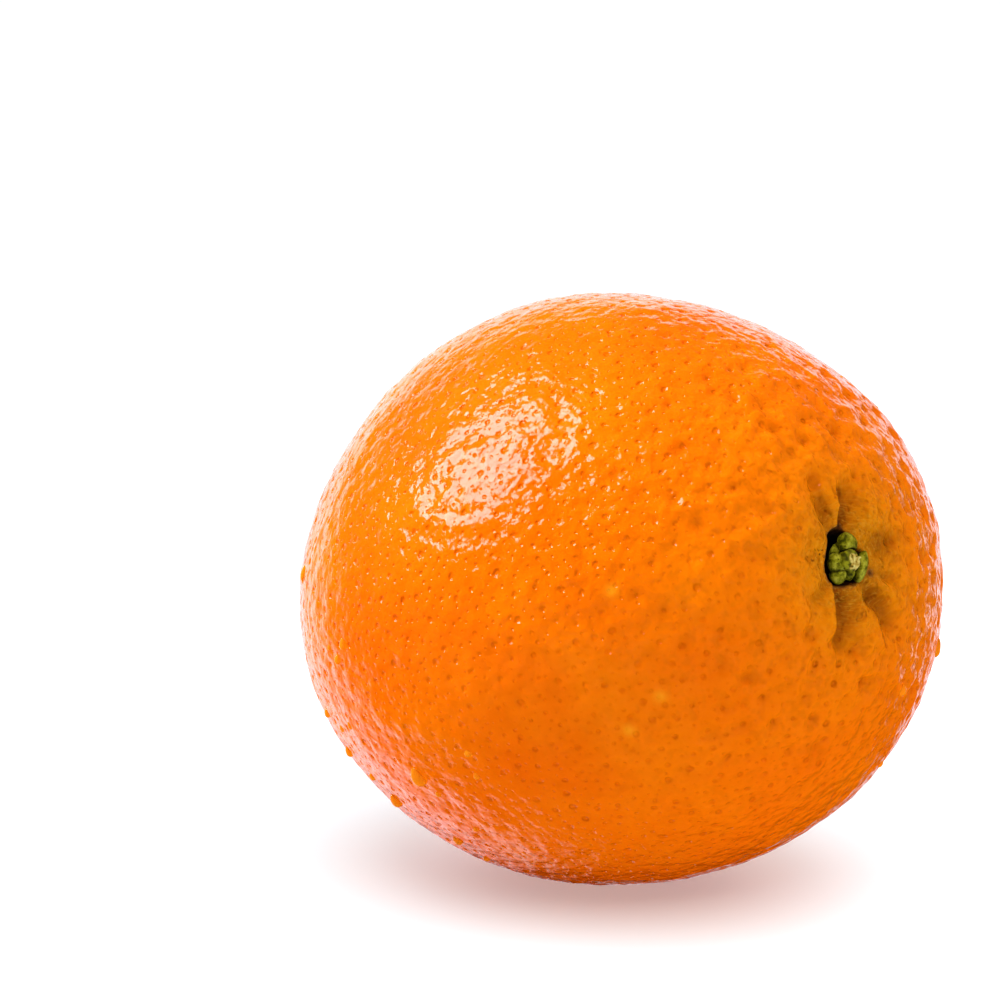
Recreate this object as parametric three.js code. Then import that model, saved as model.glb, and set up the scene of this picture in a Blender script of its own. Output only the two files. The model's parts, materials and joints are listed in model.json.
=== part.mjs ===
// A navel orange, as picked, lying on its side on a small flat spot. Millimetres, +Z up.
//
// Three pieces: the fruit, one grown solid; the green calyx button in the pit at its stem end; and the
// torn stub of the stem in the middle of the button. Each is modelled about the fruit's own axis, with
// the stem end towards +Z, and the whole orange is then laid down.
import * as THREE from 'three';
import { mergeVertices } from 'three/addons/utils/BufferGeometryUtils.js';

// ---- the fruit's form ----
const EQUATOR_RADIUS = 39;
const STEM_REACH = 44.5; // centre to the stem end, before the dip
const NAVEL_REACH = 44.5;
const STEM_SQUARENESS = 1.92; // exponent of the meridian: 2 is an ellipse, less is more pointed
const NAVEL_SQUARENESS = 2.09;
// Slow swells round the axis, each with its height at the equator and the direction of one crest.
const SWELLS = [
  { waves: 2, height: 0.48, toward: 73 },
  { waves: 3, height: 0.2, toward: 42 },
  { waves: 4, height: 0.39, toward: 13 },
  { waves: 5, height: 0.39, toward: 43 },
];
const SLANT = { height: 0.23, toward: 79 }; // one cheek is fuller at the stem, the other at the navel

// ---- how it lies ----
const STEM_PITCH = 15.9; // degrees that the stem end points above the horizontal
const FOOT_RADIUS = 7; // of the small flat spot

// ---- the stem end: a dip, a pit with a steep wall, and furrows that run into it ----
const DIP_DEPTH = 2.5;
const DIP_RADIUS = 7;
const PIT_DEPTH = 2.6;
const PIT_RADIUS = 4.0;
const PIT_WALL = 1.1; // width of the wall, seen along the axis
const PIT_CORNERS = { count: 3, height: 0.25, toward: 58 };
// Furrows and the low ridges between them, in the plane across the axis: where each starts and ends,
// its half-width on either side, and its depth or height. The side named left is on the left of someone
// walking from the start to the end.
const FURROWS = [
  { from: [-4.2, -0.2], to: [-11.5, 2.2], left: 0.9, right: 2.8, depth: 1.5 },
  { from: [3.6, -3.1], to: [13.6, -4.3], left: 3.0, right: 0.8, depth: 2.0 },
  { from: [4.2, 2.2], to: [12.6, 7.4], left: 1.9, right: 2.3, depth: 1.5 },
  { from: [2.3, 3.6], to: [5.0, 8.4], left: 0.8, right: 1.2, depth: 1.0 },
  { from: [-0.6, 4.6], to: [-1.6, 11.6], left: 2.2, right: 2.2, depth: 1.1 },
  { from: [-4.2, -2.4], to: [-11.6, -3.6], left: 1.5, right: 1.9, depth: 1.2 },
  { from: [2.4, -4.4], to: [5.4, -8.6], left: 1.0, right: 1.0, depth: 0.8 },
];
const RIDGES = [
  { from: [-2.4, -4.2], to: [-9.8, -8.0], left: 1.3, right: 1.3, depth: 0.5 },
  { from: [4.6, -4.8], to: [11.5, -6.2], left: 1.4, right: 1.2, depth: 0.5 },
  { from: [4.4, 0.4], to: [11.4, 3.6], left: 1.2, right: 1.0, depth: 0.5 },
  { from: [3.0, 4.5], to: [10.4, 10.8], left: 1.0, right: 1.0, depth: 0.45 },
  { from: [-4.6, -1.3], to: [-11.0, 0.2], left: 1.2, right: 0.8, depth: 0.45 },
  { from: [-3.6, 2.9], to: [-9.0, 7.4], left: 1.6, right: 1.6, depth: 0.4 },
];
// Both rise over this stretch before their start and fade over this one towards their end, as shares
// of their length.
const FURROW_RISE = { from: -0.45, to: 0.3 };
const FURROW_FADE = { from: 0.35, to: 1.15 };

// ---- the navel, at the other end ----
const NAVEL_DIP = { depth: 1.0, radius: 7.5 };
const NAVEL_RING = { depth: 1.3, radius: 3.6, width: 1.2, pleats: 7, pleatDepth: 0.3 };
const NAVEL_BUD = { height: 0.5, radius: 1.9 };

// ---- the peel ----
const GRID_FREQUENCY = 24; // a multiple of three, so that the pores tile the whole sphere
const PORE_DEPTH = 0.4;
const PORE_UNEVENNESS = 0.8; // share by which a pore's depth varies
const PORE_FADE = { from: 6, to: 12 }; // mm from the axis: no pores inside the dip
const STEM_GATHER = { share: 0.64, angle: 32 }; // how the grid is drawn together at each end
const NAVEL_GATHER = { share: 0.35, angle: 30 };
const SEED = 7;

// ---- the calyx and the stub ----
const FIT_GAP = 0.32;
const STUB_RADIUS = 1.25;
const STUB_CENTRE = [0.1, -0.1];
const STUB_HEIGHT = 3.0;
const STUB_SIDES = 20;
const STUB_LEAN = 0.5; // how far the torn end slopes, from one edge to the other
const STUB_RAGGEDNESS = 0.22;
const STUB_TEAR = { from: 0.6, to: 0.95 }; // shares of the height between which the tear begins
// The stub's outline from the middle of its foot to the middle of its end: shares of radius and height.
const STUB_OUTLINE = [[0, 0], [0.8, 0], [1, 0.1], [0.92, 0.5], [1, 0.82], [0.85, 0.96], [0.45, 1], [0, 1]];
const LOBES = [
  { toward: 168, halfAngle: 40, reach: 1.0 },
  { toward: 275, halfAngle: 30, reach: 0.9 },
  { toward: 315, halfAngle: 22, reach: 1.0 },
  { toward: 3, halfAngle: 20, reach: 0.8 },
  { toward: 60, halfAngle: 42, reach: 0.95 },
];
const CALYX_REACH = 3.3; // from the middle of the stub to the tip of a full lobe
const CALYX_WAIST = 2.45; // the same, between two lobes
const CALYX_THICKNESS = 2.0;
const CALYX_WAIST_THICKNESS = 1.4;
const CALYX_STEPS = 60;
const CALYX_SECTION_STEPS = 10;

const PEEL_COLOUR = 0xf77f12;
const CALYX_COLOUR = 0x7d7a22;
const STUB_COLOUR = 0xc9b463;

const radians = THREE.MathUtils.degToRad;
const LAID_DOWN = radians(90 - STEM_PITCH);
// The height of the pit's floor under the tips of the lobes, and the fit gap above it.
const DIP_AT_LOBE_TIPS = 0.8; // share of the dip's depth
const BUTTON_SEAT = STEM_REACH - DIP_DEPTH * DIP_AT_LOBE_TIPS - PIT_DEPTH + FIT_GAP;

const gauss = (distance, width) => Math.exp(-((distance / width) ** 2));
const smooth = (value, low, high) => THREE.MathUtils.smoothstep(value, low, high);

// A repeatable random number from 0 to 1.
function seededRandom(seed) {
  let state = seed;
  return () => {
    state = (Math.imul(state, 1664525) + 1013904223) >>> 0;
    return state / 2 ** 32;
  };
}

// How strongly a point (x, y) of the plane across the axis lies in the strongest of some lines.
function strongest(lines, x, y) {
  let depth = 0;
  for (const line of lines) {
    const [startX, startY] = line.from;
    const runX = line.to[0] - startX;
    const runY = line.to[1] - startY;
    const length = Math.hypot(runX, runY);
    const along = ((x - startX) * runX + (y - startY) * runY) / length ** 2;
    const aside = ((y - startY) * runX - (x - startX) * runY) / length;
    const width = aside > 0 ? line.left : line.right;
    const rise = smooth(along, FURROW_RISE.from, FURROW_RISE.to);
    const fade = 1 - smooth(along, FURROW_FADE.from, FURROW_FADE.to);
    depth = Math.max(depth, line.depth * rise * fade * gauss(aside, width));
  }
  return depth;
}

function pitRadius(angle) {
  const corner = Math.cos(PIT_CORNERS.count * (angle - radians(PIT_CORNERS.toward)));
  return PIT_RADIUS + PIT_CORNERS.height * corner;
}

// How far the stem end is pressed in at a point, in the direction of the axis.
function stemEndDepth(x, y) {
  const reach = Math.hypot(x, y);
  const rim = pitRadius(Math.atan2(y, x));
  const inPit = 1 - smooth(reach, rim - PIT_WALL / 2, rim + PIT_WALL / 2);
  const folded = strongest(FURROWS, x, y) - strongest(RIDGES, x, y);
  const inFurrow = folded * (1 - inPit);
  return DIP_DEPTH * gauss(reach, DIP_RADIUS) + PIT_DEPTH * inPit + inFurrow;
}

function navelEndDepth(x, y) {
  const reach = Math.hypot(x, y);
  const pleat = Math.cos(NAVEL_RING.pleats * Math.atan2(y, x));
  const ring = gauss(reach - NAVEL_RING.radius, NAVEL_RING.width);
  return (
    NAVEL_DIP.depth * gauss(reach, NAVEL_DIP.radius) +
    (NAVEL_RING.depth + NAVEL_RING.pleatDepth * pleat) * ring -
    NAVEL_BUD.height * gauss(reach, NAVEL_BUD.radius)
  );
}

// The point of the peel in a direction, without its pores.
function peelPoint(direction) {
  const across = Math.hypot(direction.x, direction.y);
  const angle = Math.atan2(direction.y, direction.x);
  const reach = direction.z >= 0 ? STEM_REACH : NAVEL_REACH;
  const power = direction.z >= 0 ? STEM_SQUARENESS : NAVEL_SQUARENESS;
  const oval = (Math.abs(direction.z) / reach) ** power + (across / EQUATOR_RADIUS) ** power;
  let share = 0;
  for (const swell of SWELLS) {
    const crest = Math.cos(swell.waves * (angle - radians(swell.toward)));
    share += (swell.height / EQUATOR_RADIUS) * crest * across ** Math.min(swell.waves, 3);
  }
  const slantCrest = Math.cos(angle - radians(SLANT.toward));
  share += (SLANT.height / EQUATOR_RADIUS) * slantCrest * 2 * across * direction.z;
  const point = direction.clone().multiplyScalar(oval ** (-1 / power) * (1 + share));
  if (point.z > 0) {
    point.z -= stemEndDepth(point.x, point.y);
  } else {
    point.z += navelEndDepth(point.x, point.y);
  }
  return point;
}

// Draws grid directions together towards both ends, where the form is finer.
function gathered(direction) {
  const polar = Math.acos(THREE.MathUtils.clamp(direction.z, -1, 1));
  const rest = Math.PI - polar;
  const stemShare = STEM_GATHER.share * gauss(polar, radians(STEM_GATHER.angle));
  const navelShare = NAVEL_GATHER.share * gauss(rest, radians(NAVEL_GATHER.angle));
  const moved = polar - polar * stemShare + rest * navelShare;
  const angle = Math.atan2(direction.y, direction.x);
  const across = Math.sin(moved);
  return new THREE.Vector3(across * Math.cos(angle), across * Math.sin(angle), Math.cos(moved));
}

function geometryOf(points, triangles) {
  const geometry = new THREE.BufferGeometry();
  geometry.setAttribute('position', new THREE.Float32BufferAttribute(points, 3));
  geometry.setIndex(triangles);
  geometry.computeVertexNormals();
  return geometry;
}

// A geodesic grid of unit directions. Every third point, in an even honeycomb, is marked as a pore.
function geodesicGrid(frequency) {
  const corners = new THREE.IcosahedronGeometry(1, 0).getAttribute('position');
  const known = new Map();
  const grid = { directions: [], isPore: [], triangles: [] };

  function pointAt(corner, i, j, k) {
    const point = new THREE.Vector3();
    point.addScaledVector(corner[0], i);
    point.addScaledVector(corner[1], j);
    point.addScaledVector(corner[2], k).normalize();
    const key = point.toArray().map((value) => Math.round(value * 1e5)).join();
    if (!known.has(key)) {
      known.set(key, grid.directions.length);
      grid.directions.push(point);
      grid.isPore.push(i % 3 === j % 3 && j % 3 === k % 3);
    }
    return known.get(key);
  }

  for (let face = 0; face < corners.count; face += 3) {
    const corner = [0, 1, 2].map((n) => new THREE.Vector3().fromBufferAttribute(corners, face + n));
    for (let i = 0; i < frequency; i += 1) {
      for (let j = 0; j < frequency - i; j += 1) {
        const k = frequency - i - j;
        const here = pointAt(corner, i, j, k);
        const ahead = pointAt(corner, i + 1, j, k - 1);
        const beside = pointAt(corner, i, j + 1, k - 1);
        grid.triangles.push(here, ahead, beside);
        if (k > 1) {
          grid.triangles.push(ahead, pointAt(corner, i + 1, j + 1, k - 2), beside);
        }
      }
    }
  }
  return grid;
}

// The way up and the height of the resting plane, in the fruit's own frame.
function restingPlane(points) {
  const up = new THREE.Vector3(0, 0, 1).applyAxisAngle(new THREE.Vector3(0, 1, 0), -LAID_DOWN);
  const lowest = Math.min(...points.map((point) => point.dot(up)));
  return { up, height: lowest + FOOT_RADIUS ** 2 / (2 * EQUATOR_RADIUS) };
}

// The whole fruit: the peel with its pores pressed in, and the underside cut off flat at the foot.
function fruitGeometry() {
  const grid = geodesicGrid(GRID_FREQUENCY);
  const random = seededRandom(SEED);
  const points = grid.directions.map((direction) => peelPoint(gathered(direction)));
  const plane = restingPlane(points);
  points.forEach((point, n) => {
    const unevenness = 1 - PORE_UNEVENNESS * random();
    const clearOfFoot = smooth(point.dot(plane.up) - plane.height, PORE_DEPTH, 4 * PORE_DEPTH);
    const clearOfEnds = smooth(Math.hypot(point.x, point.y), PORE_FADE.from, PORE_FADE.to);
    if (grid.isPore[n]) {
      const depth = PORE_DEPTH * unevenness * clearOfFoot * clearOfEnds;
      point.addScaledVector(point.clone().normalize(), -depth);
    }
    const below = plane.height - point.dot(plane.up);
    if (below > 0) {
      point.addScaledVector(plane.up, below);
    }
  });
  return geometryOf(points.flatMap((point) => point.toArray()), grid.triangles);
}

// How full the calyx is in a direction, from 0 between its lobes to 1 at the middle of a full lobe.
function lobeFullness(angle) {
  let fullness = 0;
  for (const lobe of LOBES) {
    const away = Math.cos(angle - radians(lobe.toward));
    const turned = Math.acos(THREE.MathUtils.clamp(away, -1, 1)) / radians(lobe.halfAngle);
    if (turned < 1) {
      fullness = Math.max(fullness, lobe.reach * Math.sqrt(1 - turned ** 2));
    }
  }
  return fullness;
}

// The calyx is a cushioned ring of lobes round the stub.
function calyxGeometry() {
  const inside = STUB_RADIUS + FIT_GAP;
  const points = [];
  const triangles = [];
  for (let step = 0; step < CALYX_STEPS; step += 1) {
    const angle = (step / CALYX_STEPS) * 2 * Math.PI;
    const fullness = lobeFullness(angle);
    const outside = THREE.MathUtils.lerp(CALYX_WAIST, CALYX_REACH, fullness);
    const thickness = THREE.MathUtils.lerp(CALYX_WAIST_THICKNESS, CALYX_THICKNESS, fullness);
    for (let turn = 0; turn < CALYX_SECTION_STEPS; turn += 1) {
      const section = (turn / CALYX_SECTION_STEPS) * 2 * Math.PI;
      const reach = (outside + inside) / 2 + ((outside - inside) / 2) * Math.cos(section);
      const height = (thickness / 2) * (1 + Math.sin(section));
      points.push(reach * Math.cos(angle), reach * Math.sin(angle), height);
      const next = (turn + 1) % CALYX_SECTION_STEPS;
      const row = step * CALYX_SECTION_STEPS;
      const nextRow = ((step + 1) % CALYX_STEPS) * CALYX_SECTION_STEPS;
      triangles.push(row + turn, nextRow + turn, nextRow + next);
      triangles.push(row + turn, nextRow + next, row + next);
    }
  }
  return geometryOf(points, triangles);
}

// The stub is a short round stem with a softened foot and a sloping, torn end.
function stubGeometry() {
  const random = seededRandom(SEED);
  const profile = STUB_OUTLINE.map(
    ([across, up]) => new THREE.Vector2(STUB_RADIUS * across, STUB_HEIGHT * up),
  );
  const turned = new THREE.LatheGeometry(profile, STUB_SIDES).rotateX(Math.PI / 2);
  turned.deleteAttribute('normal');
  turned.deleteAttribute('uv');
  const geometry = mergeVertices(turned);
  const position = geometry.getAttribute('position');
  for (let n = 0; n < position.count; n += 1) {
    const height = position.getZ(n);
    const torn = smooth(height / STUB_HEIGHT, STUB_TEAR.from, STUB_TEAR.to);
    const slope = (STUB_LEAN / 2) * (position.getY(n) / STUB_RADIUS);
    const ragged = STUB_RAGGEDNESS * (2 * random() - 1);
    position.setZ(n, height + torn * (slope + ragged));
  }
  geometry.computeVertexNormals();
  return geometry;
}

function piece(name, geometry, colour, roughness) {
  const material = new THREE.MeshStandardMaterial({ color: colour, roughness, metalness: 0 });
  const mesh = new THREE.Mesh(geometry, material);
  mesh.name = name;
  return mesh;
}

const fruit = piece('fruit', fruitGeometry(), PEEL_COLOUR, 0.42);

const calyx = piece('calyx', calyxGeometry(), CALYX_COLOUR, 0.75);
calyx.position.set(...STUB_CENTRE, BUTTON_SEAT);

const stemStub = piece('stem_stub', stubGeometry(), STUB_COLOUR, 0.9);
stemStub.position.set(...STUB_CENTRE, BUTTON_SEAT);

// The orange, laid down with its stem end towards +X and a little up.
const laidDown = new THREE.Group();
laidDown.add(fruit, calyx, stemStub);
laidDown.rotation.y = LAID_DOWN;

const orange = new THREE.Group();
orange.add(laidDown);
orange.updateMatrixWorld(true);

// The origin is in the middle of the orange's outline, on the surface that it rests on.
const box = new THREE.Box3().setFromObject(orange, true);
const middle = box.getCenter(new THREE.Vector3());
laidDown.position.set(-middle.x, -middle.y, -box.min.z);
orange.updateMatrixWorld(true);

export default orange;
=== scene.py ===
"""A navel orange lying on its side, with its green button, torn stem stub and a few drops of water."""

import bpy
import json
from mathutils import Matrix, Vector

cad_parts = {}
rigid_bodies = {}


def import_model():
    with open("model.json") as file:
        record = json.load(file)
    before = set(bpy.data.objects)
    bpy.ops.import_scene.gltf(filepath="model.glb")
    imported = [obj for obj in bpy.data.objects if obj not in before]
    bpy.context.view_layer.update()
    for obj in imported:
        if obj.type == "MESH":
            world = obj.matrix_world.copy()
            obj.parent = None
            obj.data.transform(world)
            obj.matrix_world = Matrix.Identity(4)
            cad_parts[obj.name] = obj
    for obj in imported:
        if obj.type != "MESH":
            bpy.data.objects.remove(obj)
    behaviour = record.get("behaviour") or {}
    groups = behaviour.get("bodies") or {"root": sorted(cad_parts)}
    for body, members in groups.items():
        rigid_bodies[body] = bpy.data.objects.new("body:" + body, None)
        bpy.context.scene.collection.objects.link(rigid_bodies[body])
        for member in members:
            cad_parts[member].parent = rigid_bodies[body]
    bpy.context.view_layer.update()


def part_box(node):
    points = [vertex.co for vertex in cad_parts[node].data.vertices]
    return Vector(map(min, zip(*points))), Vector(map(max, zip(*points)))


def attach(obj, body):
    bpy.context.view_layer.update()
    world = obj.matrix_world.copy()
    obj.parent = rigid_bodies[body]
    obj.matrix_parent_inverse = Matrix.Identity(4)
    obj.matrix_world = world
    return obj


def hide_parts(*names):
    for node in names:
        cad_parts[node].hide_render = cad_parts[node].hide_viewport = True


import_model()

import json
import logging
import math
from dataclasses import dataclass, field
from enum import Enum
from itertools import combinations
from typing import Any, Sequence

import bpy
import numpy as np
from mathutils import Vector, kdtree, noise

LOG = logging.getLogger("orange")
MM = 0.001
BODY = "root"


class Slot(Enum):
    """The record's material slots."""

    PEEL = "orange_peel"
    CALYX = "green_calyx"
    STEM = "torn_stem"
    WATER = "water"


# ---------------------------------------------------------------- small helpers


def srgb(code: str) -> tuple[float, float, float, float]:
    """Turns an sRGB hex colour to a linear colour with alpha 1.

    Args:
        code: Six hex digits, such as "fa7d12".

    Returns:
        Red, green, blue and alpha for a shader socket.
    """
    channels = [int(code[n : n + 2], 16) / 255 for n in (0, 2, 4)]
    linear = [c / 12.92 if c <= 0.04045 else ((c + 0.055) / 1.055) ** 2.4 for c in channels]
    return (linear[0], linear[1], linear[2], 1.0)


def gauss(distance: np.ndarray, width: np.ndarray | float) -> np.ndarray:
    """Bell curve: 1 at no distance, and 1/e at one width."""
    return np.exp(-((distance / width) ** 2))


def smooth(value: np.ndarray, low: float, high: float) -> np.ndarray:
    """Smooth step from 0 at low to 1 at high."""
    share = np.clip((value - low) / (high - low), 0.0, 1.0)
    return share * share * (3.0 - 2.0 * share)


def lumps(points: np.ndarray, size: float, seed: float, octaves: int = 1) -> np.ndarray:
    """Seeded smooth noise over points in space.

    Args:
        points: Positions in millimetres, one row each.
        size: Distance in millimetres over which the noise changes.
        seed: Moves the noise to another place.
        octaves: How many layers there are, each at half the size and strength of the last.

    Returns:
        A number from about -1 to 1 for each point.
    """
    shift = Vector((seed * 13.7, seed * 7.1, seed * 3.3))
    total = np.zeros(len(points))
    for layer in range(octaves):
        scale = 2.0**layer / size
        values = [noise.noise(Vector(point) * scale + shift) for point in points]
        total += np.array(values) * 0.5**layer
    return total


def search_tree(points: np.ndarray) -> kdtree.KDTree:
    """Builds a search tree of points.

    Args:
        points: Positions, one row each.

    Returns:
        The tree, which knows each point by its row's number.
    """
    tree = kdtree.KDTree(len(points))
    for number, point in enumerate(points):
        tree.insert(point, number)
    tree.balance()
    return tree


def mesh_object(
    name: str, points: np.ndarray, faces: Sequence[Sequence[int]] | np.ndarray
) -> bpy.types.Object:
    """Makes a smooth-shaded mesh object at the origin.

    Args:
        name: The piece's name.
        points: Corner positions in metres.
        faces: Corner numbers of each face.

    Returns:
        The new object, linked to the scene.
    """
    mesh = bpy.data.meshes.new(name)
    mesh.from_pydata(points.tolist(), [], [list(map(int, face)) for face in faces])
    mesh.validate()
    mesh.shade_smooth()
    return in_scene(name, mesh)


def in_scene(name: str, data: bpy.types.ID) -> bpy.types.Object:
    """Makes an object of a mesh, a light or a camera.

    Args:
        name: The object's name.
        data: What it holds.

    Returns:
        The new object, linked to the scene.
    """
    thing = bpy.data.objects.new(name, data)
    bpy.context.scene.collection.objects.link(thing)
    return thing


def store(piece: bpy.types.Object, name: str, values: np.ndarray, domain: str = "POINT") -> None:
    """Stores a number or a vector on each corner or face of a mesh, for its material to read.

    Args:
        piece: The mesh object.
        name: The name that the material reads.
        values: One number, or one row of three, for each corner or face.
        domain: POINT for corners, FACE for faces.
    """
    kind, key = ("FLOAT", "value") if values.ndim == 1 else ("FLOAT_VECTOR", "vector")
    layer = piece.data.attributes.new(name, kind, domain)
    layer.data.foreach_set(key, values.astype(np.float32).reshape(-1))


def geodesic(frequency: int) -> tuple[np.ndarray, np.ndarray]:
    """Divides an icosahedron's faces evenly and puts the corners on the unit sphere.

    Args:
        frequency: Steps along each of the icosahedron's edges.

    Returns:
        Unit directions, and the triangles as rows of three corner numbers.
    """
    golden = (1 + math.sqrt(5)) / 2
    signs = [(a, b) for a in (-1, 1) for b in (-1, 1)]
    corners = np.array(
        [(a, b * golden, 0.0) for a, b in signs]
        + [(0.0, a, b * golden) for a, b in signs]
        + [(b * golden, 0.0, a) for a, b in signs]
    )
    corners /= np.linalg.norm(corners[0])
    just_over_an_edge = 2 / math.sqrt(1 + golden**2) * 1.01
    near = np.linalg.norm(corners[:, None] - corners[None], axis=2) < just_over_an_edge
    steps = range(frequency + 1)
    rows = [(i, j) for i in steps for j in steps if i + j <= frequency]
    number = {row: n for n, row in enumerate(rows)}
    weights = np.array([(i, j, frequency - i - j) for i, j in rows]) / frequency
    small = []
    for i, j in rows:
        if i + j < frequency:
            small.append((number[i, j], number[i + 1, j], number[i, j + 1]))
        if i + j < frequency - 1:
            small.append((number[i + 1, j], number[i + 1, j + 1], number[i, j + 1]))
    points, triangles = [], []
    for a, b, c in combinations(range(len(corners)), 3):
        if near[a, b] and near[b, c] and near[a, c]:
            outward = np.dot(corners[a], np.cross(corners[b], corners[c])) > 0
            triangles.append(np.array(small) + len(points) * len(rows))
            points.append(weights @ corners[[a, b, c] if outward else [a, c, b]])
    everything = np.concatenate(points)
    everything /= np.linalg.norm(everything, axis=1)[:, None]
    _, first, shared = np.unique(np.round(everything, 6), axis=0, return_index=True, return_inverse=True)
    return everything[first], shared.reshape(-1)[np.concatenate(triangles)]


class NodeTree:
    """The node tree of a material or a world, with one way to add a node."""

    def __init__(self, owner: bpy.types.Material | bpy.types.World) -> None:
        """Empties the owner's node tree.

        Args:
            owner: The material or the world.
        """
        owner.use_nodes = True
        self.owner = owner
        self.tree = owner.node_tree
        self.tree.nodes.clear()

    @classmethod
    def of_material(cls, name: str) -> "NodeTree":
        """Starts a new material with an empty node tree."""
        return cls(bpy.data.materials.new(name))

    def finish(self, shader: bpy.types.NodeSocket) -> Any:
        """Joins the last shader to the output.

        Args:
            shader: The shader's output.

        Returns:
            The material or the world.
        """
        kind = "World" if isinstance(self.owner, bpy.types.World) else "Material"
        end = self.tree.nodes.new(f"ShaderNodeOutput{kind}")
        self.tree.links.new(shader, end.inputs["Surface"])
        return self.owner

    def add(
        self,
        kind: str,
        inputs: dict[str | int, Any] | None = None,
        out: str | int = 0,
        stops: Sequence[tuple[float, str]] = (),
        **settings: Any,
    ) -> bpy.types.NodeSocket:
        """Adds a node, sets it and links it.

        Args:
            kind: The node's type, without the words ShaderNode.
            inputs: For each input's name or number, a value, a hex colour or the output that feeds it.
            out: The output to hand back, by name or number.
            stops: The place and hex colour of each stop, for a colour ramp.
            **settings: Properties of the node itself.

        Returns:
            The new node's output.
        """
        node = self.tree.nodes.new(f"ShaderNode{kind}")
        for key, value in settings.items():
            setattr(node, key, value)
        for key, value in (inputs or {}).items():
            if isinstance(value, bpy.types.NodeSocket):
                self.tree.links.new(value, node.inputs[key])
            else:
                node.inputs[key].default_value = srgb(value) if isinstance(value, str) else value
        if stops:
            elements = node.color_ramp.elements
            while len(elements) < len(stops):
                elements.new(0.5)
            for element, (place, colour) in zip(elements, stops):
                element.position = place
                element.color = srgb(colour)
        return node.outputs[out]


# ---------------------------------------------------------------- the orange's form


@dataclass(frozen=True)
class Swell:
    """A slow swell round the axis: crests, height in millimetres and the direction of one crest."""

    waves: int
    height: float
    toward: float


@dataclass(frozen=True)
class Furrow:
    """A furrow or a ridge across the axis, from near the button outwards, in millimetres."""

    start: tuple[float, float]
    end: tuple[float, float]
    left: float
    right: float
    depth: float


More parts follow.
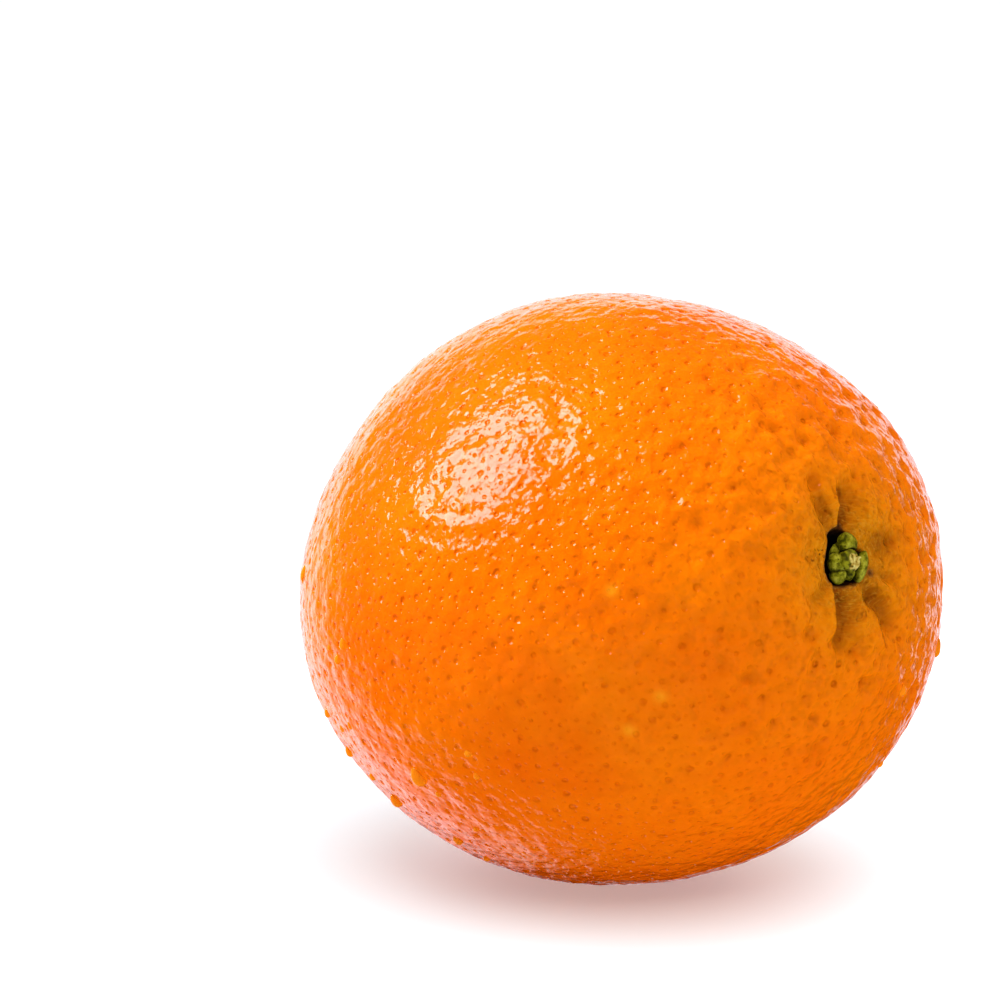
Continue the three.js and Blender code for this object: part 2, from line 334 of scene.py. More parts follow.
@dataclass(frozen=True)
class OrangeForm:
    """The peel's form about the fruit's own axis, in millimetres, with the stem end towards +Z."""

    equator_radius: float = 39.0
    stem_reach: float = 44.5
    navel_reach: float = 44.5
    stem_squareness: float = 1.92
    navel_squareness: float = 2.09
    swells: tuple[Swell, ...] = (
        Swell(2, 0.48, 73),
        Swell(3, 0.2, 42),
        Swell(4, 0.39, 13),
        Swell(5, 0.39, 43),
    )
    slant_height: float = 0.23
    slant_toward: float = 79.0
    stem_pitch: float = 15.9
    foot_radius: float = 7.0
    dip_depth: float = 2.5
    dip_radius: float = 7.0
    pit_depth: float = 2.6
    pit_radius: float = 3.5
    pit_middle: tuple[float, float] = (-0.25, -0.75)
    pit_wall: float = 0.9
    pit_pinch: float = 0.75
    pinch_toward: float = 122.0
    pinch_width: float = 34.0
    pit_corner: float = 0.25
    pit_corners: int = 3
    pit_toward: float = 58.0
    navel_dip: tuple[float, float] = (1.0, 7.5)
    navel_ring: tuple[float, float, float] = (1.3, 3.6, 1.2)
    navel_bud: tuple[float, float] = (0.5, 1.9)
    navel_pleats: tuple[int, float] = (7, 0.3)
    fade_in: tuple[float, float] = (-0.45, 0.3)
    fade_out: tuple[float, float] = (0.35, 1.15)
    furrows: tuple[Furrow, ...] = (
        Furrow((-4.2, -0.2), (-11.5, 2.2), 0.8, 2.8, 1.5),
        Furrow((3.6, -3.1), (13.6, -4.3), 3.0, 0.7, 2.0),
        Furrow((4.2, 2.2), (12.6, 7.4), 1.9, 2.3, 1.5),
        Furrow((2.3, 3.6), (5.0, 8.4), 0.8, 1.2, 1.0),
        Furrow((-0.6, 4.6), (-1.6, 11.6), 2.2, 2.2, 1.1),
        Furrow((-4.2, -2.4), (-11.6, -3.6), 1.5, 1.9, 1.2),
        Furrow((2.4, -4.4), (5.4, -8.6), 1.0, 1.0, 0.8),
    )
    ridges: tuple[Furrow, ...] = (
        Furrow((-2.4, -4.2), (-9.8, -8.0), 1.3, 1.3, 0.5),
        Furrow((4.6, -4.8), (11.5, -6.2), 1.4, 1.2, 0.5),
        Furrow((4.4, 0.4), (11.4, 3.6), 1.2, 1.0, 0.5),
        Furrow((3.0, 4.5), (10.4, 10.8), 1.0, 1.0, 0.45),
        Furrow((-4.6, -1.3), (-11.0, 0.2), 1.2, 0.8, 0.45),
        Furrow((-3.6, 2.9), (-9.0, 7.4), 1.6, 1.6, 0.4),
    )

    def strongest(self, lines: tuple[Furrow, ...], x: np.ndarray, y: np.ndarray) -> np.ndarray:
        """The strongest of several furrows or ridges at points of the plane across the axis.

        Args:
            lines: The furrows or ridges.
            x: The points' first coordinate, in millimetres.
            y: The points' second coordinate.

        Returns:
            Depth or height in millimetres.
        """
        deepest = np.zeros_like(x)
        for line in lines:
            run_x = line.end[0] - line.start[0]
            run_y = line.end[1] - line.start[1]
            length = math.hypot(run_x, run_y)
            from_x, from_y = x - line.start[0], y - line.start[1]
            along = (from_x * run_x + from_y * run_y) / length**2
            aside = (from_y * run_x - from_x * run_y) / length
            width = np.where(aside > 0, line.left, line.right)
            fade = smooth(along, *self.fade_in) * (1 - smooth(along, *self.fade_out))
            deepest = np.maximum(deepest, line.depth * fade * gauss(aside, width))
        return deepest

    def furrow_depth(self, x: np.ndarray, y: np.ndarray) -> np.ndarray:
        """How deep the furrows are, less the ridges between them, in millimetres."""
        return self.strongest(self.furrows, x, y) - self.strongest(self.ridges, x, y)

    def in_pit(self, x: np.ndarray, y: np.ndarray, grown: np.ndarray | float = 0.0) -> np.ndarray:
        """Tells which points lie in the button's pit.

        Args:
            x: The points' first coordinate, in millimetres.
            y: The points' second coordinate.
            grown: How much wider the pit is taken to be, in millimetres.

        Returns:
            1 on the pit's floor, 0 outside it.
        """
        x, y = x - self.pit_middle[0], y - self.pit_middle[1]
        around = np.arctan2(y, x)
        corner = np.cos(self.pit_corners * (around - math.radians(self.pit_toward)))
        turned = np.degrees(np.arccos(np.cos(around - math.radians(self.pinch_toward))))
        pinch = self.pit_pinch * gauss(turned, self.pinch_width)
        rim = self.pit_radius + self.pit_corner * corner - pinch + grown
        half = self.pit_wall / 2
        return 1 - smooth(np.hypot(x, y) - rim, -half, half)

    def stem_end_depth(self, x: np.ndarray, y: np.ndarray) -> np.ndarray:
        """How far the stem end is pressed in: a dip, the furrows and the button's pit.

        Args:
            x: The points' first coordinate, in millimetres.
            y: The points' second coordinate.

        Returns:
            Depth along the axis, in millimetres.
        """
        pit = self.in_pit(x, y)
        dip = self.dip_depth * gauss(np.hypot(x, y), self.dip_radius)
        return dip + self.pit_depth * pit + self.furrow_depth(x, y) * (1 - pit)

    def navel_end_depth(self, x: np.ndarray, y: np.ndarray) -> np.ndarray:
        """How far the navel end is pressed in: a dip, a pleated ring and the small bud inside it.

        Args:
            x: The points' first coordinate, in millimetres.
            y: The points' second coordinate.

        Returns:
            Depth along the axis, in millimetres.
        """
        reach = np.hypot(x, y)
        dip, dip_radius = self.navel_dip
        ring, ring_radius, ring_width = self.navel_ring
        bud, bud_radius = self.navel_bud
        pleats, pleat = self.navel_pleats
        pleated = ring + pleat * np.cos(pleats * np.arctan2(y, x))
        hollow = dip * gauss(reach, dip_radius) + pleated * gauss(reach - ring_radius, ring_width)
        return hollow - bud * gauss(reach, bud_radius)

    def points(self, directions: np.ndarray) -> np.ndarray:
        """The peel's points in the given unit directions, without pores.

        Args:
            directions: Unit vectors, one row each.

        Returns:
            Positions about the fruit's own centre, in millimetres.
        """
        across = np.hypot(directions[:, 0], directions[:, 1])
        angle = np.arctan2(directions[:, 1], directions[:, 0])
        rise = directions[:, 2]
        reach = np.where(rise >= 0, self.stem_reach, self.navel_reach)
        power = np.where(rise >= 0, self.stem_squareness, self.navel_squareness)
        oval = (np.abs(rise) / reach) ** power + (across / self.equator_radius) ** power
        share = np.zeros(len(directions))
        for swell in self.swells:
            crest = np.cos(swell.waves * (angle - math.radians(swell.toward)))
            share += swell.height / self.equator_radius * crest * across ** min(swell.waves, 3)
        slant = np.cos(angle - math.radians(self.slant_toward))
        share += self.slant_height / self.equator_radius * slant * 2 * across * rise
        points = directions * (oval ** (-1 / power) * (1 + share))[:, None]
        x, y = points[:, 0], points[:, 1]
        stem_side = points[:, 2] > 0
        points[:, 2] += np.where(stem_side, -self.stem_end_depth(x, y), self.navel_end_depth(x, y))
        return points

    def laid_down(self) -> np.ndarray:
        """The rotation that lays the fruit on its side.

        Returns:
            A 3 by 3 matrix, for points written as columns.
        """
        angle = math.radians(90 - self.stem_pitch)
        cos, sin = math.cos(angle), math.sin(angle)
        return np.array([(cos, 0.0, sin), (0.0, 1.0, 0.0), (-sin, 0.0, cos)])


@dataclass
class Placement:
    """Carries points from the fruit's own frame to the room, in metres."""

    form: OrangeForm
    shift: np.ndarray = field(default_factory=lambda: np.zeros(3))

    def settle(self, points: np.ndarray, node: str) -> np.ndarray:
        """Finds the shift that stands the fruit where its CAD node is.

        Args:
            points: The peel's points in the fruit's own frame, in millimetres.
            node: The CAD node that shows where the fruit lies.

        Returns:
            The points with the underside cut off flat at the foot, in the fruit's own frame.
        """
        low, high = (np.array(corner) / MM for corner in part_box(node))
        turn = self.form.laid_down()
        laid = points @ turn.T
        middle = (laid.min(axis=0) + laid.max(axis=0)) / 2
        floor = laid[:, 2].min() + self.form.foot_radius**2 / (2 * self.form.equator_radius)
        laid[:, 2] = np.maximum(laid[:, 2], floor)
        self.shift = np.array([*((low + high) / 2 - middle)[:2], -floor])
        return laid @ turn

    def place(self, points: np.ndarray) -> np.ndarray:
        """Room positions in metres of points in the fruit's own frame."""
        return (points @ self.form.laid_down().T + self.shift) * MM


# ---------------------------------------------------------------- finishes


@dataclass(frozen=True)
class WaxedPeel:
    """Orange peel as it grew, waxed: pitted by oil glands, golden near the button, with painted brown
    shade there and in its furrows and pit.
    """

    deep: str = "f86a00"
    bright: str = "fb7a02"
    mottle: str = "f8f2e7"
    golden: str = "ee980a"
    # shaded, furrow, pit and hollow are colours of painted shade; pore is partly painted shade.
    shaded: str = "c0780c"
    furrow: str = "965006"
    pit: str = "2a1707"
    pore: str = "df5c00"
    hollow: str = "c66404"
    wrinkle: str = "e0a83a"
    speck: str = "3a1704"
    blemish: str = "ffa21f"
    wax: str = "ffbcd7"
    # Sizes of the patterns, the depths of their relief, and where each colour sets in.
    patch_mm: float = 17.0
    patch_edge: tuple[float, float] = (0.32, 0.68)
    mottle_mm: float = 2.6
    mottle_edge: tuple[float, float] = (0.3, 0.7)
    wave_mm: float = 2.4
    wave_deep: float = 0.22
    ripple_mm: float = 1.0
    ripple_deep: float = 0.085
    grain_mm: float = 0.4
    grain_deep: float = 0.02
    speck_mm: float = 0.42
    speck_edge: tuple[float, float] = (0.34, 0.42)
    crease_deep: float = 0.16
    crease_edge: tuple[float, float] = (0.5, 0.66)
    stem_boost: float = 7.0
    dent_deep: float = 0.2
    dent_full_mm: float = 0.45
    dent_edge: tuple[float, float] = (0.7, 2.1)
    dent_ragged: float = 1.2
    dot_sharpness: float = 1.6
    valley_edge: tuple[float, float] = (1.02, 0.74)
    satin: tuple[float, float] = (0.08, 0.13)
    pit_roughness: float = 0.95

    def material(self) -> bpy.types.Material:
        """Builds the peel's material.

        Returns:
            A waxy translucent skin: soft light under the surface, small sparkling dents in the gloss.
        """
        # Grown skin under a thin wax: deep colour from within, and a gloss that each dent breaks.
        net = NodeTree.of_material("waxed orange peel")
        place = net.add("TexCoord", out="Object")
        stored = {
            name: net.add("Attribute", out="Fac", attribute_name=name)
            for name in (
                "gland_size",
                "stem_glow",
                "hollow",
                "blemish",
                "dryness",
                "furrow",
                "specks",
                "pit",
            )
        }
        vectors = {
            name: net.add("Attribute", out="Vector", attribute_name=name)
            for name in ("gland_at", "ring_place")
        }
        rough = {
            name: net.add("TexNoise", {"Vector": place, "Scale": 1 / (size * MM), "Detail": detail})
            for name, size, detail in (
                ("patch", self.patch_mm, 2.0),
                ("mottle", self.mottle_mm, 2.0),
                ("wave", self.wave_mm, 1.0),
                ("ripple", self.ripple_mm, 1.0),
                ("grain", self.grain_mm, 3.0),
                ("speck", self.speck_mm, 3.0),
            )
        }

        # Each face knows its nearest gland, so the dent is drawn round it, as sharp as the light
        # shows it.
        away = net.add("VectorMath", {0: place, 1: vectors["gland_at"]}, "Value", operation="DISTANCE")
        turns = net.add("Math", {0: away, 1: stored["gland_size"]}, operation="DIVIDE")
        ragged = {0: rough["ripple"], 1: self.dent_ragged, 2: turns}
        turns = net.add("Math", ragged, operation="MULTIPLY_ADD")
        inner, outer = self.dent_edge
        ends = {1: inner, 2: outer, 3: 1.0, 4: 0.0}
        dent = net.add("MapRange", {0: turns, **ends}, interpolation_type="SMOOTHERSTEP")
        fullness = {0: stored["gland_size"], 1: 1 / (self.dent_full_mm * MM)}
        full = net.add("Math", fullness, operation="MULTIPLY")
        dent = net.add("Math", {0: dent, 1: full}, operation="MULTIPLY")
        # The pore colour is partly the gland's own deeper orange and partly painted shade in its dent.
        dot = net.add("Math", {0: dent, 1: self.dot_sharpness}, operation="POWER", use_clamp=True)

        # Near the stem end the valleys between the lumps get painted shade where the bump is low.
        level = net.add("Math", {0: rough["ripple"], 1: rough["wave"]}, operation="ADD")
        rim, floor = self.valley_edge
        valley_shade = net.add("MapRange", {0: level, 1: rim, 2: floor, 3: 0.0, 4: 1.0})
        valley_shade = net.add("Math", {0: valley_shade, 1: stored["stem_glow"]}, operation="MULTIPLY")

        # Near the button the skin is dry: pale creases run round it, with a few dark specks.
        folded = {"Vector": vectors["ring_place"], "Scale": 1.0, "Detail": 3.0, "Distortion": 0.8}
        creases = net.add("TexNoise", folded)
        low, high = self.crease_edge
        pale = net.add("ValToRGB", {0: creases}, stops=[(low, "000000"), (high, "ffffff")])
        pale = net.add("Math", {0: pale, 1: stored["dryness"]}, operation="MULTIPLY")
        low, high = self.speck_edge
        dirt = net.add("ValToRGB", {0: rough["speck"]}, stops=[(low, "ffffff"), (high, "000000")])
        dirt = net.add("Math", {0: dirt, 1: stored["specks"]}, operation="MULTIPLY")

        # Slow patches of deeper and brighter orange, and a fine mottle from gland to gland.
        low, high = self.patch_edge
        oranges = [(low, self.deep), (high, self.bright)]
        patches = net.add("ValToRGB", {0: rough["patch"]}, stops=oranges)
        low, high = self.mottle_edge
        mottle = net.add("ValToRGB", {0: rough["mottle"]}, stops=[(low, self.mottle), (high, "ffffff")])
        mixed = {"Factor": 0.8, 6: patches, 7: mottle}
        colour = net.add("Mix", mixed, 2, data_type="RGBA", blend_type="MULTIPLY")
        # Layers over it from the lowest up: colour, where it lies, and how much of it shows.
        # The pore layer is partly the glands' own deeper orange and partly painted shade; the valley,
        # hollow, shaded, furrow and pit layers are painted shade.
        for tint, where, most in (
            (self.golden, stored["stem_glow"], 0.85),
            (self.pore, dot, 0.28),
            (self.hollow, valley_shade, 0.8),
            (self.hollow, stored["hollow"], 0.3),
            (self.blemish, stored["blemish"], 0.8),
            (self.shaded, stored["dryness"], 0.72),
            (self.furrow, stored["furrow"], 0.9),
            (self.wrinkle, pale, 0.42),
            (self.speck, dirt, 0.8),
            (self.pit, stored["pit"], 1.0),
        ):
            share = net.add("Math", {0: where, 1: most}, operation="MULTIPLY", use_clamp=True)
            colour = net.add("Mix", {"Factor": share, 6: colour, 7: tint}, 2, data_type="RGBA")

        # The gloss is broken by a leathery grain, by waves from gland to gland, and by the dents. The
        # skin is rougher towards the stem end.
        heights = {"grain": rough["grain"]}
        raised = {0: stored["stem_glow"], 1: self.stem_boost, 2: 1.0}
        boost = net.add("Math", raised, operation="MULTIPLY_ADD")
        for name, height, factor in (
            ("ripple", rough["ripple"], boost),
            ("wave", rough["wave"], boost),
            ("crease", creases, stored["dryness"]),
        ):
            heights[name] = net.add("Math", {0: height, 1: factor}, operation="MULTIPLY")
        normal = {}
        for height, deep, inward in (
            (heights["grain"], self.grain_deep, False),
            (heights["ripple"], self.ripple_deep, False),
            (heights["wave"], self.wave_deep, False),
            (heights["crease"], self.crease_deep, False),
            (dent, self.dent_deep, True),
        ):
            bump = {"Height": height, "Strength": 1.0, "Distance": deep * MM, **normal}
            normal = {"Normal": net.add("Bump", bump, invert=inward)}
        low, high = self.mottle_edge
        smoothest, roughest = self.satin
        gloss = {0: rough["mottle"], 1: low, 2: high, 3: smoothest, 4: roughest}
        satin = net.add("MapRange", gloss)
        worn = net.add("Mix", {"Factor": stored["pit"], 2: satin, 3: self.pit_roughness})
        skin = {
            "Base Color": colour,
            "Roughness": worn,
            "IOR": 1.48,
            "Subsurface Weight": 0.12,
            "Subsurface Radius": (1.0, 0.3, 0.08),
            "Subsurface Scale": 1.0 * MM,
            "Specular Tint": self.wax,
            **normal,
        }
        return net.finish(net.add("BsdfPrincipled", skin))


@dataclass(frozen=True)
class GreenCalyx:
    """The button's living green skin: dull, olive, freckled and a little wrinkled."""

    light: str = "b0a838"
    mid: str = "8a8418"
    dark: str = "4c4c04"
    freckle_and_shade: str = "201a02"
    gloss: str = "fff9cb"
    patch_mm: float = 0.9
    fold_deep: float = 0.2
    freckle_mm: float = 0.28
    freckle_deep: float = 0.08

    def material(self) -> bpy.types.Material:
        """Builds the calyx's material.

        Returns:
            A soft matt green with dark freckles, and painted shade where lobes meet and round the stub.
        """
        # Living skin, unwaxed: an olive green that drinks the light, with dark dots and folds.
        net = NodeTree.of_material("olive green calyx skin")
        place = net.add("TexCoord", out="Object")
        patch, spots = (
            net.add(
                "TexNoise",
                {"Vector": place, "Scale": 1 / (size * MM), "Detail": detail, "Roughness": 0.65},
            )
            for size, detail in ((self.patch_mm, 4.0), (self.freckle_mm, 3.0))
        )
        greens = [(0.36, self.dark), (0.5, self.mid), (0.64, self.light)]
        colour = net.add("ValToRGB", {0: patch}, stops=greens)
        freckles = net.add("ValToRGB", {0: spots}, stops=[(0.3, "ffffff"), (0.42, "000000")])
        # Where two lobes meet and round the stub, the freckles' dark colour is laid in, partly dirt and
        # partly painted shade.
        for share in (freckles, net.add("Attribute", out="Fac", attribute_name="crevice")):
            colour = net.add("Mix", {"Factor": share, 6: colour, 7: self.freckle_and_shade}, 2, data_type="RGBA")
        folds = net.add("Bump", {"Height": patch, "Strength": 1.0, "Distance": self.fold_deep * MM})
        bump = {"Height": spots, "Strength": 1.0, "Distance": self.freckle_deep * MM, "Normal": folds}
        skin = {
            "Base Color": colour,
            "Roughness": 0.42,
            "IOR": 1.42,
            "Specular IOR Level": 0.25,
            "Specular Tint": self.gloss,
            "Subsurface Weight": 0.1,
            "Subsurface Radius": (0.5, 0.6, 0.1),
            "Subsurface Scale": 0.4 * MM,
            "Normal": net.add("Bump", bump),
        }
        return net.finish(net.add("BsdfPrincipled", skin))


@dataclass(frozen=True)
class TornStem:
    """Stem wood torn across: green bark on the side, pale dry fibres on the torn end."""

    bark: str = "938c14"
    dark_bark: str = "4a4606"
    fibre: str = "dcc878"
    shade: str = "ad8a34"
    hole: str = "4c3408"
    fibre_mm: float = 0.55
    fibre_deep: float = 0.08

    def material(self) -> bpy.types.Material:
        """Builds the stub's material.

        Returns:
            Green bark that turns to pale fibres where the stem was torn.
        """
        # Torn wood: straw-pale broken fibres with dark holes between them, no gloss. The holes and the
        # shade stop are painted shade where the fibres' bump is low.
        net = NodeTree.of_material("torn green stem wood")
        place = net.add("TexCoord", out="Object")
        fibres = net.add("TexNoise", {"Vector": place, "Scale": 1 / (self.fibre_mm * MM), "Detail": 3.0})
        straw = [(0.3, self.hole), (0.38, self.shade), (0.62, self.fibre)]
        pale = net.add("ValToRGB", {0: fibres}, stops=straw)
        bark = net.add("ValToRGB", {0: fibres}, stops=[(0.36, self.dark_bark), (0.62, self.bark)])
        torn = net.add("Attribute", out="Fac", attribute_name="torn")
        torn_up = {"Height": fibres, "Strength": 0.7, "Distance": self.fibre_deep * MM}
        wood = {
            "Base Color": net.add("Mix", {"Factor": torn, 6: bark, 7: pale}, 2, data_type="RGBA"),
            "Roughness": 0.6,
            "IOR": 1.45,
            "Specular IOR Level": 0.25,
            "Normal": net.add("Bump", torn_up),
        }
        return net.finish(net.add("BsdfPrincipled", wood))


@dataclass(frozen=True)
class WaterWithPaintedGlow:
    """Water beaded on the wax; its golden, half-opaque colour is painted light that stands in for the
    peel glowing through the drop.
    """

    painted_golden_glow: str = "ffb02a"
    clear: float = 0.55
    waver_mm: float = 1.4
    waver_deep: float = 0.02

    def material(self) -> bpy.types.Material:
        """Builds the water's material.

        Returns:
            Half-clear water with a painted golden glow, slightly uneven where the drop clings to the
            peel.
        """
        # Still water: mirror-smooth, with the orange seen through it and a painted golden glow in its
        # own colour.
        net = NodeTree.of_material("water with a painted golden glow")
        place = net.add("TexCoord", out="Object")
        waver = net.add("TexNoise", {"Vector": place, "Scale": 1 / (self.waver_mm * MM)})
        wavering = {"Height": waver, "Strength": 0.2, "Distance": self.waver_deep * MM}
        water = {
            "Base Color": self.painted_golden_glow,
            "Roughness": 0.02,
            "IOR": 1.333,
            "Transmission Weight": self.clear,
            "Normal": net.add("Bump", wavering),
        }
        return net.finish(net.add("BsdfPrincipled", water))


@dataclass(frozen=True)
class AcrylicWithPaintedGlow:
    """A white acrylic table top with a painted glow of its own, though no lamp lights it from below,
    which keeps shadows soft and pale.
    """

    white: str = "d5eef6"
    shaded: str = "d2ecf4"
    fleck_mm: float = 60.0
    glow: float = 0.28
    glow_colour: str = "fbfbff"

    def material(self) -> bpy.types.Material:
        """Builds the table's material.

        Returns:
            A matt white with the faintest mottle and a painted glow of its own.
        """
        # Cast acrylic, matted: plain white, so that only the soft shadow shows on it. Its emission is a
        # painted glow that pales the shadow.
        net = NodeTree.of_material("white acrylic with a painted glow")
        place = net.add("TexCoord", out="Object")
        fleck = net.add("TexNoise", {"Vector": place, "Scale": 1 / (self.fleck_mm * MM)})
        acrylic = {
            "Base Color": net.add("ValToRGB", {0: fleck}, stops=[(0.3, self.shaded), (0.7, self.white)]),
            "Roughness": 0.6,
            "Emission Color": self.glow_colour,
            "Emission Strength": self.glow,
        }
        return net.finish(net.add("BsdfPrincipled", acrylic))


# ---------------------------------------------------------------- the pieces


def dress(piece: bpy.types.Object, finish: Any, slot: Slot, *nodes: str) -> None:
    """Gives a piece its finish and its body, and hides the CAD nodes that it stands for.

    Args:
        piece: The piece.
        finish: A finish with a material method.
        slot: Not used.
        *nodes: CAD nodes that the piece replaces.
    """
    piece.data.materials.append(finish.material())
    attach(piece, BODY)
    if nodes:
        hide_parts(*nodes)
    LOG.info("%s: %d faces", piece.name, len(piece.data.polygons))


@dataclass
class Peel:
    """The whole fruit's skin, with its oil glands pressed in one by one; sizes in millimetres."""

    form: OrangeForm
    seed: int = 11
    # The mesh: steps along an edge, and how far it is gathered towards the stem, within what angle.
    frequency: int = 99
    gather_share: float = 0.35
    gather_angle: float = 36.0
    # Glands: spacing, how much wider it is round the stem and how far out, and their sizes. The least
    # is the depth of the shallowest as a share of the deepest. The material draws each one at a size
    # picked from a range, as shares of the radius.
    gland_spacing: float = 2.3
    spaced_at_stem: tuple[float, float] = (0.35, 16.0)
    gland_radius: float = 0.46
    gland_depth: float = 0.18
    gland_least: float = 0.35
    gland_drawn: tuple[float, float] = (0.5, 1.02)
    small_spacing: float = 1.25
    small_radius: float = 0.25
    small_depth: float = 0.06
    small_least: float = 0.3
    small_drawn: tuple[float, float] = (0.5, 1.05)
    small_clear: float = 0.02
    pressed_widths: tuple[float, float] = (0.8, 1.25)
    pressed_reach: float = 2.4
    nearest_glands: int = 4
    bare_stem: float = 6.0
    bare_navel: float = 4.5
    # Dimples on the shoulder round the stem, from where it starts to where it ends.
    dimple_spacing: float = 3.6
    dimple_radius: float = 0.95
    dimple_depth: float = 0.75
    dimple_least: float = 0.1
    shoulder_start: tuple[float, float] = (6.5, 9.0)
    shoulder_end: tuple[float, float] = (20.0, 36.0)
    # Lumps: their size, their height everywhere, what the stem end adds to it, and how far out.
    swell_size: float = 7.5
    swell_height: float = 0.16
    swell_at_stem: tuple[float, float] = (0.2, 17.0)
    crumple_size: float = 2.7
    crumple_height: float = 0.11
    crumple_at_stem: tuple[float, float] = (0.65, 19.0)
    crumple_start: tuple[float, float] = (3.8, 6.0)
    # Shares of painted shade in the dimples and in the sunken crumples near the stem.
    hollow_shade_shares: tuple[float, float] = (0.9, 0.7)
    # Colour round the stem, golden and with painted brown shade. Pairs are the height and the width of a
    # bell curve.
    glow_bells: tuple[tuple[float, float], ...] = ((0.55, 9.0), (0.5, 30.0))
    dry_bells: tuple[tuple[float, float], ...] = ((1.0, 6.5), (0.35, 10.0))
    speck_bell: tuple[float, float] = (0.35, 7.0)
    speck_middle: tuple[float, float] = (-0.9, -4.9)
    speck_radius: float = 2.0
    furrow_full: float = 1.3
    furrow_sharpness: float = 1.5
    furrow_bell: tuple[float, float] = (1.4, 11.0)
    ring_step: float = 0.25
    ring_bends: float = 6.0
    # The painted shade of the pit: how far it spills over the rim, how much that varies, and over what
    # size.
    spill: float = 0.36
    spill_varies: float = 0.32
    spill_size: float = 0.7
    notch_varies: float = 0.45
    blemish_radius: float = 0.8
    # Dark notches at the rim of the pit, as x, y and radius, and pale blemishes, as points of the skin.
    notches: tuple[tuple[float, float, float], ...] = (
        (-4.3, 0.1, 0.55),
        (2.4, 3.45, 0.55),
        (3.1, -0.6, 0.4),
    )
    blemishes: tuple[tuple[float, float, float], ...] = (
        (12.3, -25.1, 30.1),
        (-2.1, -28.8, 28.9),
        (15.9, -27.1, 25.3),
    )

    def gathered(self, directions: np.ndarray) -> np.ndarray:
        """Draws unit directions together towards the stem end, where the form is finer.

        Args:
            directions: Unit vectors, one row each.

        Returns:
            The moved unit vectors.
        """
        polar = np.arccos(np.clip(directions[:, 2], -1, 1))
        moved = polar * (1 - self.gather_share * gauss(polar, math.radians(self.gather_angle)))
        around = np.arctan2(directions[:, 1], directions[:, 0])
        across = np.sin(moved)
        return np.stack([across * np.cos(around), across * np.sin(around), np.cos(moved)], axis=1)

    def scatter(
        self, tree: kdtree.KDTree, points: np.ndarray, spacing: np.ndarray | float, free: np.ndarray
    ) -> list[int]:
        """Picks seeded random points that keep their distance from each other.

        Args:
            tree: Search tree of the points.
            points: All points, in millimetres.
            spacing: Least distance to the next chosen point, for all points or for each.
            free: Which points may be chosen.

        Returns:
            The numbers of the chosen points.
        """
        random = np.random.default_rng(self.seed)
        free = free.copy()
        apart = np.broadcast_to(spacing, len(points))
        chosen = []
        for n in random.permutation(len(points)):
            if free[n]:
                chosen.append(int(n))
                for _, other, _ in tree.find_range(points[n], apart[n]):
                    free[other] = False
        return chosen

    def press(
        self, tree: kdtree.KDTree, points: np.ndarray, chosen: Sequence[int], radius: float, least: float
    ) -> np.ndarray:
        """How strongly each point lies in one of the chosen glands.

        Args:
            tree: Search tree of the points.
            points: All points, in millimetres.
            chosen: The glands' middles.
            radius: A gland's radius, in millimetres.
            least: Strength of the shallowest gland; the deepest has 1.

        Returns:
            A number from 0 to 1 for each point.
        """
        random = np.random.default_rng(self.seed + 1)
        strength = np.zeros(len(points))
        for n in chosen:
            fullness = random.uniform(least, 1.0)
            wide = radius * random.uniform(*self.pressed_widths)
            for _, other, away in tree.find_range(points[n], self.pressed_reach * wide):
                strength[other] = max(strength[other], fullness * math.exp(-((away / wide) ** 2)))
        return strength

    def mark_glands(
        self,
        piece: bpy.types.Object,
        placement: Placement,
        points: np.ndarray,
        triangles: np.ndarray,
        glands: Sequence[int],
        small: Sequence[int],
    ) -> None:
        """Tells each face which gland is nearest for its size, and how large that gland is.

        Args:
            piece: The skin.
            placement: Carries points to the room.
            points: The skin's points in the fruit's own frame, in millimetres.
            triangles: The skin's faces.
            glands: The middles of the large glands.
            small: The middles of the small glands.
        """
        random = np.random.default_rng(self.seed + 2)
        middles = points[list(glands) + list(small)]
        large_sizes = self.gland_radius * random.uniform(*self.gland_drawn, len(glands))
        small_sizes = self.small_radius * random.uniform(*self.small_drawn, len(small))
        sizes = np.concatenate([large_sizes, small_sizes])
        tree = search_tree(middles)
        owner = np.empty(len(triangles), dtype=int)
        for n, centre in enumerate(points[triangles].mean(axis=1)):
            found = tree.find_n(centre, self.nearest_glands)
            owner[n] = min((away / sizes[other], other) for _, other, away in found)[1]
        store(piece, "gland_at", placement.place(middles)[owner], "FACE")
        store(piece, "gland_size", sizes[owner] * MM, "FACE")

    @staticmethod
    def bells(distance: np.ndarray, curves: tuple[tuple[float, float], ...]) -> np.ndarray:
        """Adds up bell curves, each given by its height and its width, to 1 at most."""
        return np.clip(sum(height * gauss(distance, width) for height, width in curves), 0, 1)

    def mark_finish(
        self,
        piece: bpy.types.Object,
        points: np.ndarray,
        reach: np.ndarray,
        from_stem: np.ndarray,
        stem_side: np.ndarray,
    ) -> None:
        """Stores where the skin gets painted shade (the pit, the furrows, round the stem) and where it
        is golden, creased, specked or blemished.

        Args:
            piece: The skin.
            points: Its points in the fruit's own frame, in millimetres.
            reach: Each point's distance from the axis, without relief.
            from_stem: Each point's distance from the stem end, across the axis.
            stem_side: Which points lie on the stem's half.
        """
        x, y = points[:, 0], points[:, 1]
        # The pit and its spill over the rim are painted near-black shade; the notches at the rim take
        # the same dark colour.
        spill = self.spill + self.spill_varies * lumps(points, self.spill_size, 31.0, 2)
        dark = self.form.in_pit(x, y, spill)
        for middle_x, middle_y, wide in self.notches:
            away = np.hypot(x - middle_x, y - middle_y) / wide + self.notch_varies * spill
            dark = np.maximum(dark, gauss(away, 1.0))
